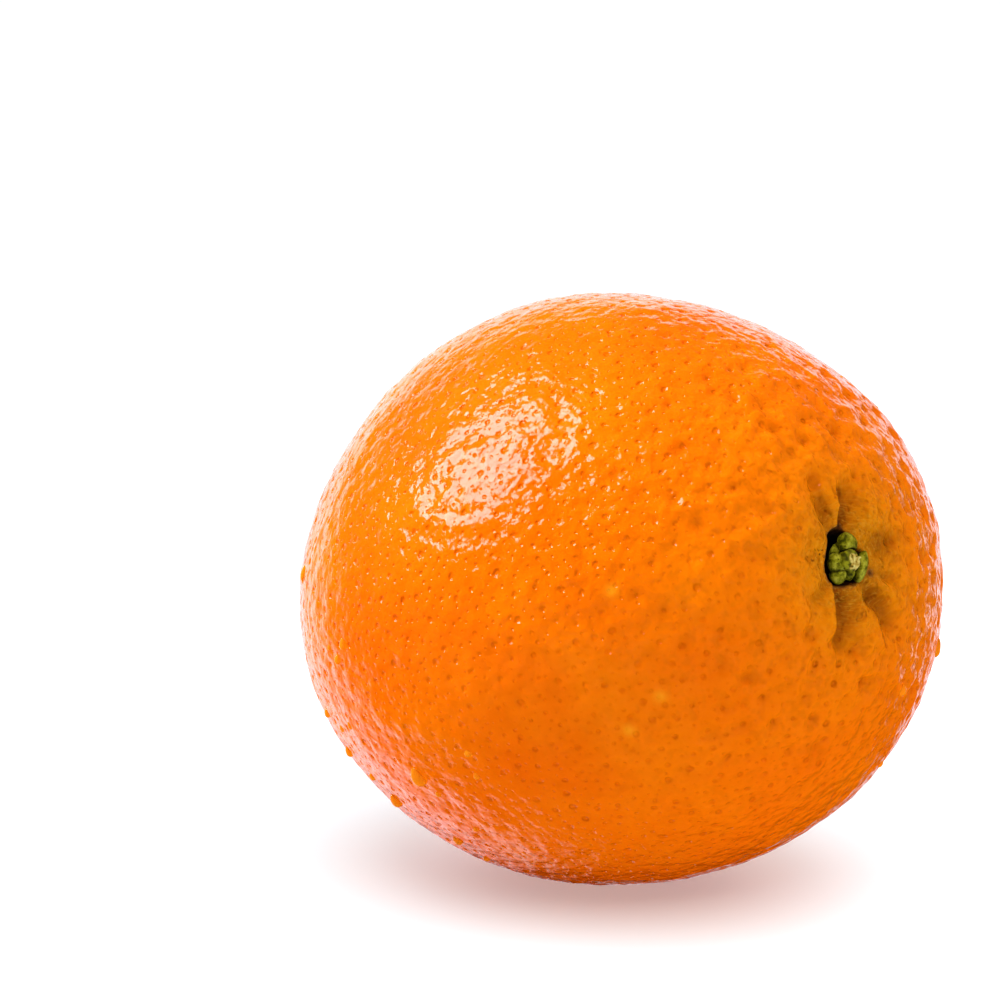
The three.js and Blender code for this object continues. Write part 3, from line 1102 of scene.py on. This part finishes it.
        # The furrows get painted brown shade, darkest along their cores and near the stem.
        furrow = np.clip(self.form.furrow_depth(x, y) * stem_side / self.furrow_full, 0, 1)
        most, width = self.furrow_bell
        furrow = furrow**self.furrow_sharpness * gauss(from_stem, width) * most
        from_specks = np.hypot(x - self.speck_middle[0], y - self.speck_middle[1])
        some, width = self.speck_bell
        specks = gauss(from_specks, self.speck_radius) + some * gauss(from_stem, width)
        around = np.arctan2(y, x)
        bends = self.ring_bends * np.cos(around), self.ring_bends * np.sin(around)
        blemish = np.zeros(len(points))
        for spot in self.blemishes:
            away = np.linalg.norm(points - np.array(spot), axis=1)
            blemish = np.maximum(blemish, gauss(away, self.blemish_radius))
        for name, values in (
            ("pit", dark * stem_side),
            ("furrow", furrow),
            ("stem_glow", self.bells(from_stem, self.glow_bells)),
            ("ring_place", np.stack([reach / self.ring_step, *bends], axis=1)),
            # Round the stem end the skin gets painted browner shade, along with its pale dry creases.
            ("dryness", self.bells(from_stem, self.dry_bells)),
            ("specks", np.clip(specks, 0, 1) * stem_side),
            ("blemish", blemish),
        ):
            store(piece, name, values)

    def build(self) -> tuple[Placement, kdtree.KDTree]:
        """Builds the skin.

        Returns:
            Where the fruit lies, and a search tree of its skin's points in the fruit's own frame.
        """
        directions, triangles = geodesic(self.frequency)
        points = self.form.points(self.gathered(directions))
        outward = points / np.linalg.norm(points, axis=1)[:, None]
        reach = np.hypot(points[:, 0], points[:, 1])
        stem_side = points[:, 2] > 0
        # The distance from either end grows on past the equator, so that nothing steps there.
        beyond = 2 * self.form.equator_radius - reach
        from_stem = np.where(stem_side, reach, beyond)
        from_navel = np.where(stem_side, beyond, reach)
        tree = search_tree(points)

        # Glands are wider apart round the stem, and there are none in the pit and the navel.
        open_skin = (from_stem > self.bare_stem) & (from_navel > self.bare_navel)
        wider, width = self.spaced_at_stem
        spacing = self.gland_spacing * (1 + wider * gauss(from_stem, width))
        glands = self.scatter(tree, points, spacing, open_skin)
        pore = self.press(tree, points, glands, self.gland_radius, self.gland_least)
        clear = open_skin & (pore < self.small_clear)
        small = self.scatter(tree, points, self.small_spacing, clear)
        small_pore = self.press(tree, points, small, self.small_radius, self.small_least)
        LOG.info("peel: %d glands and %d small ones", len(glands), len(small))

        # The shoulder round the stem is dimpled and crumpled; the rest swells slowly.
        shoulder = smooth(from_stem, *self.shoulder_start) * (1 - smooth(from_stem, *self.shoulder_end))
        dimples = self.scatter(tree, points, self.dimple_spacing, shoulder > 0.05)
        dimple = self.press(tree, points, dimples, self.dimple_radius, self.dimple_least) * shoulder
        relief = -self.dimple_depth * dimple
        relief -= self.gland_depth * pore + self.small_depth * small_pore
        more, width = self.swell_at_stem
        near_stem = gauss(from_stem, width)
        relief += (self.swell_height + more * near_stem) * lumps(points, self.swell_size, 1.0, 2)
        crumple = lumps(points, self.crumple_size, 2.0, 2) * smooth(from_stem, *self.crumple_start)
        more, width = self.crumple_at_stem
        relief += (self.crumple_height + more * gauss(from_stem, width)) * crumple
        # The hollow mask is painted shade: dimples and sunken crumples near the stem get a darker
        # colour.
        in_dimple, in_crumple = self.hollow_shade_shares
        sunken = np.clip(-crumple, 0, 1)
        hollow = np.clip(in_dimple * dimple + in_crumple * near_stem * sunken, 0, 1)
        points = points + outward * relief[:, None]

        placement = Placement(self.form)
        settled = placement.settle(points, "fruit")
        piece = mesh_object("peel", placement.place(settled), triangles)
        self.mark_glands(piece, placement, settled, triangles, glands, small)
        self.mark_finish(piece, points, reach, from_stem, stem_side)
        store(piece, "hollow", hollow)
        dress(piece, WaxedPeel(), Slot.PEEL, "fruit")
        return placement, search_tree(settled)


@dataclass(frozen=True)
class Lobe:
    """One rounded lobe of the button, in millimetres."""

    toward: float
    reach: float
    across: float
    deep: float
    high: float
    lift: float
    seated: float = 0.85

    def turn(self) -> np.ndarray:
        """The rotation about the axis that takes +X to the lobe's direction."""
        cos, sin = math.cos(math.radians(self.toward)), math.sin(math.radians(self.toward))
        return np.array([(cos, -sin, 0), (sin, cos, 0), (0, 0, 1)])

    def sizes(self) -> np.ndarray:
        """Half the lobe's sizes: along its direction, across it and up."""
        return np.array([self.deep, self.across, self.high])

    def rise(self) -> float:
        """How high its middle lies over the seat."""
        return self.high * self.seated + self.lift


@dataclass
class Button:
    """The green calyx: rounded lobes pressed together round the stub, on a dark base."""

    placement: Placement
    middle: tuple[float, float] = (0.1, 0.2)
    seat: float = 40.4
    frequency: int = 26
    base: tuple[float, float, float] = (2.5, 2.5, 0.6)
    base_rise: float = 0.55
    lean: float = 0.25
    lumpy: float = 0.07
    flattened: float = 0.8
    # Where a lobe's neighbour darkens it with painted shade: the edge as shares of its size, how ragged,
    # and how dark.
    touch_edge: tuple[float, float] = (0.98, 1.2)
    touch_ragged: float = 0.08
    touch_most: float = 0.8
    stub_edge: tuple[float, float] = (1.35, 1.65)
    lobes: tuple[Lobe, ...] = (
        Lobe(168, 2.2, 1.45, 1.3, 1.25, 0.3),
        Lobe(275, 1.9, 1.4, 1.2, 1.15, 0.1),
        Lobe(312, 2.55, 1.15, 1.1, 1.05, 0.05),
        Lobe(3, 1.75, 0.8, 0.9, 0.95, 0.2),
        Lobe(60, 2.45, 2.15, 0.95, 1.25, 0.2),
    )

    def ball(self, number: int, lobe: Lobe, directions: np.ndarray) -> np.ndarray:
        """The points of one lobe, which leans over the stub and is flatter underneath.

        Args:
            number: The lobe's place in the ring, which seeds its lumps.
            lobe: Its sizes.
            directions: Unit vectors, one row each.

        Returns:
            Positions about the button's middle, in millimetres.
        """
        ball = directions * lobe.sizes()
        ball *= (1 + self.lumpy * lumps(directions * 2.0, 1.3, 5.0 + number, 2))[:, None]
        ball[:, 2] = np.where(ball[:, 2] < 0, ball[:, 2] * self.flattened, ball[:, 2])
        ball[:, 0] += lobe.reach - self.lean * np.clip(ball[:, 2], 0, None)
        ball[:, 2] += lobe.rise()
        return ball @ lobe.turn().T

    def crevices(self, points: np.ndarray, each: int) -> np.ndarray:
        """Tells where a lobe lies close to its neighbours or to the stub, where its colour gets painted
        shade.

        Args:
            points: All points of the base and the lobes, in millimetres.
            each: How many points the base and each lobe have.

        Returns:
            A number from 0 to 1 for each point.
        """
        crevice = np.zeros(len(points))
        owner = np.arange(len(points)) // each - 1
        for number, lobe in enumerate(self.lobes):
            inside = points @ lobe.turn() - np.array([lobe.reach, 0, lobe.rise()])
            depth = np.linalg.norm(inside / lobe.sizes(), axis=1)
            ragged = depth + self.touch_ragged * lumps(points, 0.5, 41.0, 2)
            touch = self.touch_most * (1 - smooth(ragged, *self.touch_edge))
            crevice = np.where(owner == number, crevice, np.maximum(crevice, touch))
        from_stub = np.hypot(points[:, 0], points[:, 1])
        return np.maximum(crevice, 1 - smooth(from_stub, *self.stub_edge))

    def build(self) -> None:
        """Builds the button as one piece."""
        directions, triangles = geodesic(self.frequency)
        base = directions * np.array(self.base)
        base[:, 2] += self.base_rise
        balls = [self.ball(number, lobe, directions) for number, lobe in enumerate(self.lobes)]
        points = np.concatenate([base, *balls])
        faces = np.concatenate([triangles + len(directions) * n for n in range(len(self.lobes) + 1)])
        whole = points + np.array([*self.middle, self.seat])
        piece = mesh_object("calyx_button", self.placement.place(whole), faces)
        store(piece, "crevice", self.crevices(points, len(directions)))
        dress(piece, GreenCalyx(), Slot.CALYX, "calyx")


@dataclass
class Stub:
    """The torn stub of the stem in the middle of the button; sizes in millimetres."""

    placement: Placement
    middle: tuple[float, float] = (0.2, -0.2)
    seat: float = 40.22
    radius: float = 1.35
    height: float = 3.0
    # The outline: the share of its steps on the side, the foot's width and how much the side flares,
    # how square the shoulder is, and what the side and the top add to the height.
    side_share: float = 0.45
    flare: tuple[float, float] = (0.9, 0.16)
    shoulder: float = 0.55
    rises: tuple[float, float] = (0.84, 0.13)
    # The tear: its middle and edge, how ragged it is, and how far it stands up.
    tear: tuple[float, float] = (0.3, 0.35)
    tear_edge: tuple[float, float] = (0.95, 1.15)
    tear_ragged: float = 0.45
    tear_rise: tuple[float, float] = (0.2, 0.12)
    bark_rough: float = 0.06
    spike: tuple[float, float] = (-0.15, 1.0)
    spike_radius: float = 0.16
    spike_height: float = 0.55
    sides: int = 96
    rings: int = 40

    def build(self) -> None:
        """Builds the stub as a closed, round body with a ragged torn end."""
        steps = np.linspace(0, 1, self.rings + 1)
        angles = np.arange(self.sides) / self.sides * 2 * math.pi
        # The outline runs up the side, over a rounded shoulder and across the torn end.
        side = np.clip(steps / self.side_share, 0, 1)
        top = np.clip((steps - self.side_share) / (1 - self.side_share), 0, 1)
        foot, flared = self.flare
        reach = self.radius * (foot + flared * side**3) * np.cos(top * math.pi / 2) ** self.shoulder
        up_side, up_top = self.rises
        rise = self.height * (up_side * side + up_top * np.sin(top * math.pi / 2))
        across, around = np.meshgrid(reach, angles, indexing="ij")
        high = np.repeat(rise[:, None], self.sides, axis=1)
        points = np.stack([across * np.cos(around), across * np.sin(around), high], axis=-1)
        points = points.reshape(-1, 3)
        ragged = lumps(points, 0.55, 21.0, 3)
        away = np.hypot(points[:, 0] - self.tear[0], points[:, 1] - self.tear[1])
        edge = smooth(away + self.tear_ragged * ragged, *self.tear_edge)
        torn = (1 - edge) * (points[:, 2] > 0.5 * self.height)
        uneven, risen = self.tear_rise
        rough = self.bark_rough * lumps(points, 0.4, 25.0, 2)
        points[:, 2] += torn * (uneven * ragged + risen) + rough
        from_spike = np.hypot(points[:, 0] - self.spike[0], points[:, 1] - self.spike[1])
        spike = gauss(from_spike, self.spike_radius) * (points[:, 2] > 0.5 * self.height)
        points[:, 2] += self.spike_height * spike
        points[:, :2] *= (1 + self.bark_rough * lumps(points, 1.2, 23.0))[:, None]
        faces = []
        for ring in range(self.rings):
            for n in range(self.sides):
                here, beside = ring * self.sides + n, ring * self.sides + (n + 1) % self.sides
                faces.append((here, beside, beside + self.sides, here + self.sides))
        faces.append(tuple(range(self.sides - 1, -1, -1)))
        faces.append(tuple(range(self.rings * self.sides, (self.rings + 1) * self.sides)))
        points += np.array([*self.middle, self.seat])
        piece = mesh_object("stem_stub_torn", self.placement.place(points), faces)
        store(piece, "torn", torn)
        dress(piece, TornStem(), Slot.STEM, "stem_stub")


@dataclass(frozen=True)
class Drop:
    """A drop of water: the direction and polar angle where it clings, and its size in millimetres."""

    toward: float
    polar: float
    wide: float
    long: float


@dataclass
class Drops:
    """Small drops of water that cling to the peel, fat at their lower end."""

    form: OrangeForm
    placement: Placement
    tree: kdtree.KDTree
    rings: int = 14
    sides: int = 36
    # How deep the rim sits, how much deeper the base does, the crown's height as a share of the width
    # and its two roundness powers, and how much the lower end is taller and wider.
    sunk: float = 0.12
    base_sunk: float = 0.1
    tall: float = 0.45
    crown: tuple[float, float] = (2.6, 0.6)
    sagged: float = 0.25
    pear: float = 0.28
    patch_reach: float = 1.6
    drops: tuple[Drop, ...] = (
        Drop(252, 129, 1.0, 2.4),
        Drop(268.5, 107.5, 1.1, 1.8),
        Drop(269, 113.5, 0.6, 0.9),
        Drop(272, 111, 1.1, 1.4),
        Drop(285, 129, 1.0, 1.3),
        Drop(287.5, 123, 0.9, 1.2),
        Drop(286, 116.5, 0.7, 1.3),
        Drop(295, 129, 1.2, 1.6),
        Drop(301, 123.5, 1.1, 1.2),
        Drop(307, 120.5, 1.7, 2.2),
        Drop(297, 101.5, 2.2, 3.2),
        Drop(293, 84, 1.3, 1.0),
        Drop(302, 100, 0.9, 1.1),
        Drop(298.5, 85.5, 1.0, 1.2),
        Drop(312.5, 98.5, 1.0, 0.8),
        Drop(318, 110, 1.6, 1.7),
        Drop(325, 109, 1.3, 0.9),
        Drop(57.5, 39, 1.2, 2.7),
        Drop(28, 51, 0.9, 1.2),
        Drop(29.5, 29.5, 1.4, 1.7),
        Drop(141, 45, 0.6, 0.6),
        Drop(130, 42, 0.6, 0.6),
    )

    def one(self, drop: Drop) -> np.ndarray:
        """The points of one drop: its crown, its rings and the middle of its base.

        Args:
            drop: Where it clings, and its size.

        Returns:
            Positions in the fruit's own frame, in millimetres.
        """
        toward, polar = math.radians(drop.toward), math.radians(drop.polar)
        outward = math.sin(polar)
        aim = np.array([outward * math.cos(toward), outward * math.sin(toward), math.cos(polar)])
        foot = np.array(self.tree.find(self.form.points(aim[None])[0])[0])
        nearby = np.array([spot for spot, _, _ in self.tree.find_range(foot, self.patch_reach)])
        flattest = np.linalg.svd(nearby - nearby.mean(axis=0))[2][2]
        normal = flattest * np.sign(flattest @ aim)
        down = np.array([0.0, 0.0, -1.0]) @ self.form.laid_down()
        downhill = down - normal * (down @ normal)
        downhill /= np.linalg.norm(downhill)
        share = np.linspace(0, 1, self.rings + 1)[1:]
        turn = np.arange(self.sides) / self.sides * 2 * math.pi
        out, around = np.meshgrid(share, turn, indexing="ij")
        lower = np.cos(around) * out
        along = out * np.cos(around) * drop.long / 2
        aside = out * np.sin(around) * drop.wide / 2 * (1 + self.pear * lower)
        # The crown of the drop sags towards its lower end.
        inner, outer = self.crown
        dome = self.tall * drop.wide * (1 - out**inner) ** outer
        rise = dome * (1 + self.sagged * lower) - self.sunk
        across = np.cross(normal, downhill)
        shell = along[..., None] * downhill + aside[..., None] * across + rise[..., None] * normal
        shell = (foot + shell).reshape(-1, 3)
        crown = foot + normal * (self.tall * drop.wide - self.sunk)
        base = foot - normal * (self.sunk + self.base_sunk)
        return np.concatenate([[crown], shell, [base]])

    def build(self) -> None:
        """Builds all the drops as one piece."""
        count = self.rings * self.sides + 2
        faces: list[tuple[int, ...]] = []
        for number in range(len(self.drops)):
            first = number * count
            for n in range(self.sides):
                beside = (n + 1) % self.sides
                faces.append((first, first + 1 + n, first + 1 + beside))
                for ring in range(self.rings - 1):
                    low = first + 1 + ring * self.sides
                    high = low + self.sides
                    faces.append((low + n, high + n, high + beside, low + beside))
                rim = first + 1 + (self.rings - 1) * self.sides
                faces.append((rim + n, first + count - 1, rim + beside))
        points = np.concatenate([self.one(drop) for drop in self.drops])
        piece = mesh_object("water_drops", self.placement.place(points), faces)
        # Light passes clear drops, so the peel under them is as bright as the rest.
        piece.visible_shadow = piece.visible_diffuse = False
        dress(piece, WaterWithPaintedGlow(), Slot.WATER)


# ---------------------------------------------------------------- the studio


@dataclass(frozen=True)
class Lamp:
    """A lamp that faces the fruit: direction in degrees, distance and size in metres, and power."""

    name: str
    azimuth: float
    elevation: float
    distance: float
    size: float
    watts: float
    mirrored: bool = False
    colour: str = "ffffff"


@dataclass
class Studio:
    """A white table top in a white room, the lamps and the camera."""

    placement: Placement
    azimuth: float = 45.8
    elevation: float = 14.0
    distance: float = 1.0
    pixels_per_mm: float = 7.65
    picture_width: int = 1000
    fruit_at: tuple[float, float] = (625.2, 590.6)
    sensor_mm: float = 36.0
    clip: tuple[float, float] = (0.05, 20.0)
    table_half: float = 3.0
    lamps: tuple[Lamp, ...] = (
        Lamp("soft_box", -48.0, 44.0, 0.9, 0.5, 8.7, True),
        Lamp("fill_sheet", 116.0, 14.0, 0.9, 0.4, 1.3),
        Lamp("raking_lamp", 40.0, 68.0, 0.9, 0.25, 2.0),
    )
    table_lamp: Lamp = Lamp("table_lamp", 62.0, 62.0, 1.3, 1.5, 19.6, True, "fff5f3")
    beam: Lamp = Lamp("raking_beam", 22.0, 46.0, 0.9, 0.04, 14.0)
    beam_aim: tuple[float, float, float] = (0.0, 5.0, 40.0)
    beam_angle: float = 4.8
    # What lights the skin: the room's level behind the orange and on the camera's side. Each fade or
    # edge is where one level turns to the other, from -1 away from its direction to 1 towards it.
    room_levels: tuple[float, float] = (0.95, 0.12)
    room_fade: tuple[float, float] = (-0.35, 0.45)
    # What the wax mirrors: its colour, the lit backdrop above the horizon, and the sheen on the left.
    mirrored_colour: str = "ffeffa"
    backdrop_way: tuple[float, float] = (49.0, 9.0)
    backdrop_levels: tuple[float, float] = (1.3, 0.05)
    backdrop_edge: tuple[float, float] = (-0.89, -0.77)
    horizon: tuple[float, float] = (-0.45, -0.3)
    sheen_way: tuple[float, float] = (-112.0, -28.0)
    sheen_levels: tuple[float, float] = (0.0, 1.35)
    sheen_edge: tuple[float, float] = (0.75, 0.985)
    left_edge: tuple[float, float] = (0.08, 0.3)

    @staticmethod
    def toward(azimuth: float, elevation: float) -> Vector:
        """Unit direction from the fruit towards a place in the room."""
        a, e = math.radians(azimuth), math.radians(elevation)
        return Vector((math.sin(a) * math.cos(e), -math.cos(a) * math.cos(e), math.sin(e)))

    def in_room(self, point: tuple[float, float, float] = (0.0, 0.0, 0.0)) -> Vector:
        """Room position of a point in the fruit's own frame; its centre when left out."""
        return Vector(self.placement.place(np.array([point]))[0])

    def floor(self) -> None:
        """Lays the table top, which the wax doesn't mirror, because the room holds its mirror image."""
        half = self.table_half
        corners = np.array([(-half, -half, 0), (half, -half, 0), (half, half, 0), (-half, half, 0)])
        table = mesh_object("table_top", corners, [(0, 1, 2, 3)])
        table.data.materials.append(AcrylicWithPaintedGlow().material())
        table.visible_glossy = False

    def room(self) -> None:
        """Lights the room: what the skin is lit by, and what the wax mirrors."""
        world = bpy.data.worlds.new("white room")
        bpy.context.scene.world = world
        net = NodeTree(world)
        way = net.add("TexCoord", out="Generated")
        # The room is white behind the orange and dim on the camera's side, as a studio is. What the wax
        # mirrors is more uneven: the lit backdrop low behind it, the bright table on the left, and a
        # dark room elsewhere.
        part = {}
        for name, direction, edge, levels in (
            ("room", self.toward(self.azimuth, 0.0), self.room_fade, self.room_levels),
            ("backdrop", self.toward(*self.backdrop_way), self.backdrop_edge, self.backdrop_levels),
            ("above", Vector((0.0, 0.0, 1.0)), self.horizon, (0.0, 1.0)),
            ("sheen", self.toward(*self.sheen_way), self.sheen_edge, self.sheen_levels),
            ("left", self.toward(self.azimuth - 90, 0.0), self.left_edge, (0.0, 1.0)),
        ):
            ways = {0: way, 1: tuple(direction)}
            share = net.add("VectorMath", ways, "Value", operation="DOT_PRODUCT")
            (low, high), (at_low, at_high) = edge, levels
            part[name] = net.add("MapRange", {0: share, 1: low, 2: high, 3: at_low, 4: at_high})
        backdrop = net.add("Math", {0: part["backdrop"], 1: part["above"]}, operation="MULTIPLY")
        sheen = net.add("Math", {0: part["sheen"], 1: part["left"]}, operation="MULTIPLY")
        mirrored = net.add("Math", {0: backdrop, 1: sheen}, operation="MAXIMUM")
        glossy = net.add("LightPath", out="Is Glossy Ray")
        seen = net.add("LightPath", out="Is Camera Ray")
        strength = net.add("Mix", {"Factor": glossy, 2: part["room"], 3: mirrored})
        strength = net.add("Mix", {"Factor": seen, 2: strength, 3: 1.0})
        tints = {"Factor": glossy, 6: "ffffff", 7: self.mirrored_colour}
        colour = net.add("Mix", tints, 2, data_type="RGBA")
        net.finish(net.add("Background", {"Color": colour, "Strength": strength}))

    def lights(self) -> None:
        """Hangs the lamps: some light the fruit alone, so that the table keeps only a soft shadow."""
        fruit = bpy.data.collections.new("lit by the lamps")
        table = bpy.data.collections.new("lit by the table lamp")
        for piece in bpy.data.objects:
            if piece.type == "MESH":
                (table if piece.name == "table_top" else fruit).objects.link(piece)
        for lamp, lit in (*((lamp, fruit) for lamp in self.lamps), (self.table_lamp, table)):
            light = bpy.data.lights.new(lamp.name, "AREA")
            light.size = lamp.size
            self.hang(lamp, light, lit)
        # A soft-edged beam rakes across the stem end and brings out its folds.
        beam = bpy.data.lights.new(self.beam.name, "SPOT")
        beam.spot_size = math.radians(self.beam_angle)
        beam.spot_blend = 1.0
        beam.shadow_soft_size = self.beam.size
        self.hang(self.beam, beam, fruit, self.beam_aim)

    def hang(
        self,
        lamp: Lamp,
        light: bpy.types.Light,
        lit: bpy.types.Collection,
        aim: tuple[float, float, float] = (0.0, 0.0, 0.0),
    ) -> None:
        """Hangs one lamp.

        Args:
            lamp: Its place, power and colour.
            light: The light that it holds.
            lit: What it lights.
            aim: The point that it faces, in the fruit's own frame, in millimetres.
        """
        light.energy = lamp.watts
        light.color = srgb(lamp.colour)[:3]
        holder = in_scene(lamp.name, light)
        out = self.toward(lamp.azimuth, lamp.elevation)
        holder.location = self.in_room(aim) + out * lamp.distance
        holder.rotation_euler = out.to_track_quat("Z", "Y").to_euler()
        holder.visible_camera = False
        holder.visible_glossy = lamp.mirrored
        holder.light_linking.receiver_collection = lit

    def camera(self) -> None:
        """Sets up the camera."""
        back = self.toward(self.azimuth, self.elevation)
        turn = back.to_track_quat("Z", "Y")
        right, up = turn @ Vector((1, 0, 0)), turn @ Vector((0, 1, 0))
        half = self.picture_width / 2
        aside = (self.fruit_at[0] - half) / self.pixels_per_mm * MM
        below = (self.fruit_at[1] - half) / self.pixels_per_mm * MM
        place = self.in_room() + back * self.distance
        lens = bpy.data.cameras.new("camera")
        lens.sensor_width = self.sensor_mm
        lens.lens = self.pixels_per_mm / MM * self.distance / self.picture_width * self.sensor_mm
        lens.clip_start, lens.clip_end = self.clip
        holder = in_scene("camera", lens)
        holder.location = place
        aim = self.in_room() - right * aside + up * below
        holder.rotation_euler = (place - aim).to_track_quat("Z", "Y").to_euler()
        bpy.context.scene.camera = holder

    def build(self) -> None:
        """Sets up the whole studio."""
        self.camera()
        self.floor()
        self.room()
        self.lights()
        bpy.context.scene.view_settings.view_transform = "Standard"
        bpy.context.scene.view_settings.look = "Medium High Contrast"


def main() -> None:
    """Builds the orange piece by piece and sets up the studio."""
    logging.basicConfig(level=logging.INFO, format="%(name)s: %(message)s")
    form = OrangeForm()
    placement, tree = Peel(form).build()
    Button(placement).build()
    Stub(placement).build()
    Drops(form, placement, tree).build()
    Studio(placement).build()


if __name__ == "__main__":
    main()
